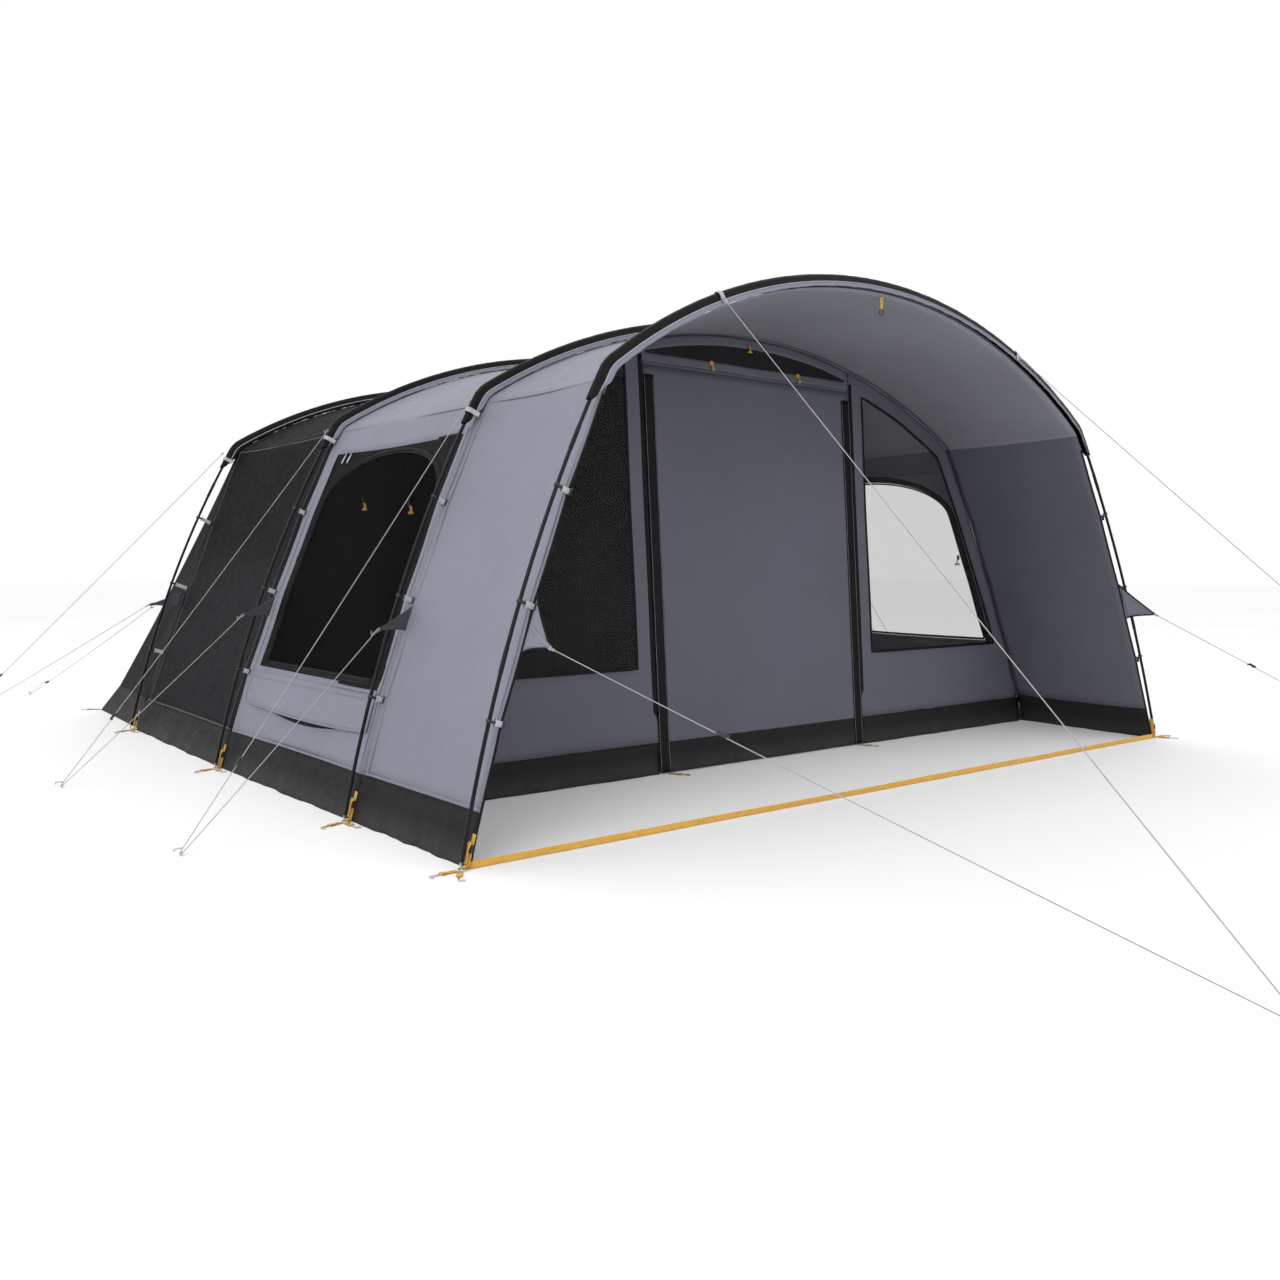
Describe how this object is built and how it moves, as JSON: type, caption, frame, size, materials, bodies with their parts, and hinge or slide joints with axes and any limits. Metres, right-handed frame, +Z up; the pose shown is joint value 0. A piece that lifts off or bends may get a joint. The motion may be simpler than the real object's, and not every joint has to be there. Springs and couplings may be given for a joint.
{
  "type": "tunnel tent",
  "caption": "Family tunnel tent on pole hoops with an open porch, a hanging front door, side windows, guy ropes and pegs.",
  "frame": {"origin": "middle of the floor under the tent, at ground level", "axes": "+X across the tent (right, seen from the porch), +Y from the porch to the rear, +Z up"},
  "size_m": [5.6882, 7.3774, 2.0075],
  "materials": {
    "pole_black": "gloss",
    "sleeve_black": "woven",
    "wire_steel": "satin",
    "cloth_grey": "coated polyester weave",
    "cloth_charcoal": "coated polyester weave",
    "flap_charcoal": "coated",
    "surround_black": "woven",
    "mesh": "fine mesh",
    "wall_grey": "coated polyester weave",
    "window_film": "clear film",
    "zip_black": "woven",
    "zip_metal": "polished",
    "strap_yellow": "webbing",
    "patch_grey": "woven",
    "tape_grey": "webbing",
    "black_plastic": "moulded",
    "groundsheet_grey": "coated",
    "inner_dark": "woven",
    "rope_white": "braided"
  },
  "bodies": {
    "tent": {"pole_front": "pole_black", "pole_door": "pole_black", "pole_middle": "pole_black", "pole_bedroom": "pole_black", "pole_sleeves": "sleeve_black", "foot_pins": "wire_steel", "fly_porch": "cloth_grey", "fly_living": "cloth_grey", "fly_bedroom": "cloth_charcoal", "fly_rear": "cloth_charcoal", "mud_flap_left": "flap_charcoal", "mud_flap_right": "flap_charcoal", "mud_flap_rear": "flap_charcoal", "mud_flap_front": "flap_charcoal", "window_surrounds": "surround_black", "front_wall_left": "wall_grey", "front_wall_right": "wall_grey", "door_header": "wall_grey", "front_windows": "window_film", "vent_mesh": "mesh", "guy_patches": "patch_grey", "clip_tapes": "tape_grey", "clip_hooks": "black_plastic", "guy_loops": "tape_grey", "foot_webbing": "strap_yellow", "foot_buckles": "black_plastic", "front_strap": "strap_yellow", "peg_loops": "strap_yellow", "foot_pegs": "wire_steel", "groundsheet": "groundsheet_grey", "inner_tent": "inner_dark", "guy_pegs": "wire_steel", "rope_front_left": "rope_white", "rope_front_right": "rope_white", "rope_door_left": "rope_white", "rope_door_right": "rope_white", "rope_middle_left": "rope_white", "rope_middle_right": "rope_white", "rope_bedroom_left": "rope_white", "rope_bedroom_right": "rope_white", "rope_rear_left": "rope_white", "rope_rear_right": "rope_white"},
    "front_door": {"front_door": "wall_grey", "zip_covers": "zip_black"},
    "door_toggles": {"door_toggles": "strap_yellow"},
    "zip_slider_left": {"zip_slider_left": "zip_metal"},
    "zip_slider_right": {"zip_slider_right": "zip_metal"},
    "mesh_window_left": {"mesh_window_left": "mesh"},
    "mesh_window_right": {"mesh_window_right": "mesh"},
    "lantern_hook": {"lantern_hook": "strap_yellow"},
    "runner_front_left": {"runner_front_left": "black_plastic"},
    "runner_front_right": {"runner_front_right": "black_plastic"},
    "runner_door_left": {"runner_door_left": "black_plastic"},
    "runner_door_right": {"runner_door_right": "black_plastic"},
    "runner_middle_left": {"runner_middle_left": "black_plastic"},
    "runner_middle_right": {"runner_middle_right": "black_plastic"},
    "runner_bedroom_left": {"runner_bedroom_left": "black_plastic"},
    "runner_bedroom_right": {"runner_bedroom_right": "black_plastic"},
    "runner_rear_left": {"runner_rear_left": "black_plastic"},
    "runner_rear_right": {"runner_rear_right": "black_plastic"}
  },
  "joints": [
    {"name": "front_door_lift", "type": "hinge", "parent": "tent", "child": "front_door", "pos_m": [0, -1.30988, 1.71708], "axis": [-1, 0, 0], "range_deg": [0, 90]},
    {"name": "door_toggles_swing", "type": "hinge", "parent": "tent", "child": "door_toggles", "pos_m": [0, -1.31594, 1.75566], "axis": [-1, 0, 0], "range_deg": [0, 80]},
    {"name": "zip_left_slide", "type": "slide", "parent": "tent", "child": "zip_slider_left", "axis": [0, 0.0767, 0.9971], "range_m": [0, 1.6]},
    {"name": "zip_right_slide", "type": "slide", "parent": "tent", "child": "zip_slider_right", "axis": [0, 0.0767, 0.9971], "range_m": [0, 1.6]},
    {"name": "mesh_window_left_fold", "type": "hinge", "parent": "tent", "child": "mesh_window_left", "pos_m": [-1.87352, -0.7777, 0.45233], "axis": [0.0374, -0.9993, -0.0003], "range_deg": [0, 100]},
    {"name": "mesh_window_right_fold", "type": "hinge", "parent": "tent", "child": "mesh_window_right", "pos_m": [1.87352, -0.7777, 0.45233], "axis": [0.0374, 0.9993, 0.0003], "range_deg": [0, 100]},
    {"name": "lantern_hook_swing", "type": "hinge", "parent": "tent", "child": "lantern_hook", "pos_m": [0.01, -2.035, 1.948], "axis": [1, 0, 0], "range_deg": [-60, 60]},
    {"name": "runner_front_left_slide", "type": "slide", "parent": "tent", "child": "runner_front_left", "axis": [-0.2508, 0.9157, 0.3139], "range_m": [-0.1, 0.3]},
    {"name": "runner_front_right_slide", "type": "slide", "parent": "tent", "child": "runner_front_right", "axis": [0.3345, 0.8863, 0.3203], "range_m": [-0.1, 0.3]},
    {"name": "runner_door_left_slide", "type": "slide", "parent": "tent", "child": "runner_door_left", "axis": [0.599, 0.0977, 0.7948], "range_m": [-0.1, 0.3]},
    {"name": "runner_door_right_slide", "type": "slide", "parent": "tent", "child": "runner_door_right", "axis": [-0.599, 0.0977, 0.7948], "range_m": [-0.1, 0.3]},
    {"name": "runner_middle_left_slide", "type": "slide", "parent": "tent", "child": "runner_middle_left", "axis": [0.6167, 0.0583, 0.785], "range_m": [-0.1, 0.3]},
    {"name": "runner_middle_right_slide", "type": "slide", "parent": "tent", "child": "runner_middle_right", "axis": [-0.6167, 0.0583, 0.785], "range_m": [-0.1, 0.3]},
    {"name": "runner_bedroom_left_slide", "type": "slide", "parent": "tent", "child": "runner_bedroom_left", "axis": [0.6217, -0.304, 0.7218], "range_m": [-0.1, 0.3]},
    {"name": "runner_bedroom_right_slide", "type": "slide", "parent": "tent", "child": "runner_bedroom_right", "axis": [-0.6217, -0.304, 0.7218], "range_m": [-0.1, 0.3]},
    {"name": "runner_rear_left_slide", "type": "slide", "parent": "tent", "child": "runner_rear_left", "axis": [0.1476, -0.9377, 0.3145], "range_m": [-0.1, 0.3]},
    {"name": "runner_rear_right_slide", "type": "slide", "parent": "tent", "child": "runner_rear_right", "axis": [-0.1476, -0.9377, 0.3145], "range_m": [-0.1, 0.3]}
  ]
}
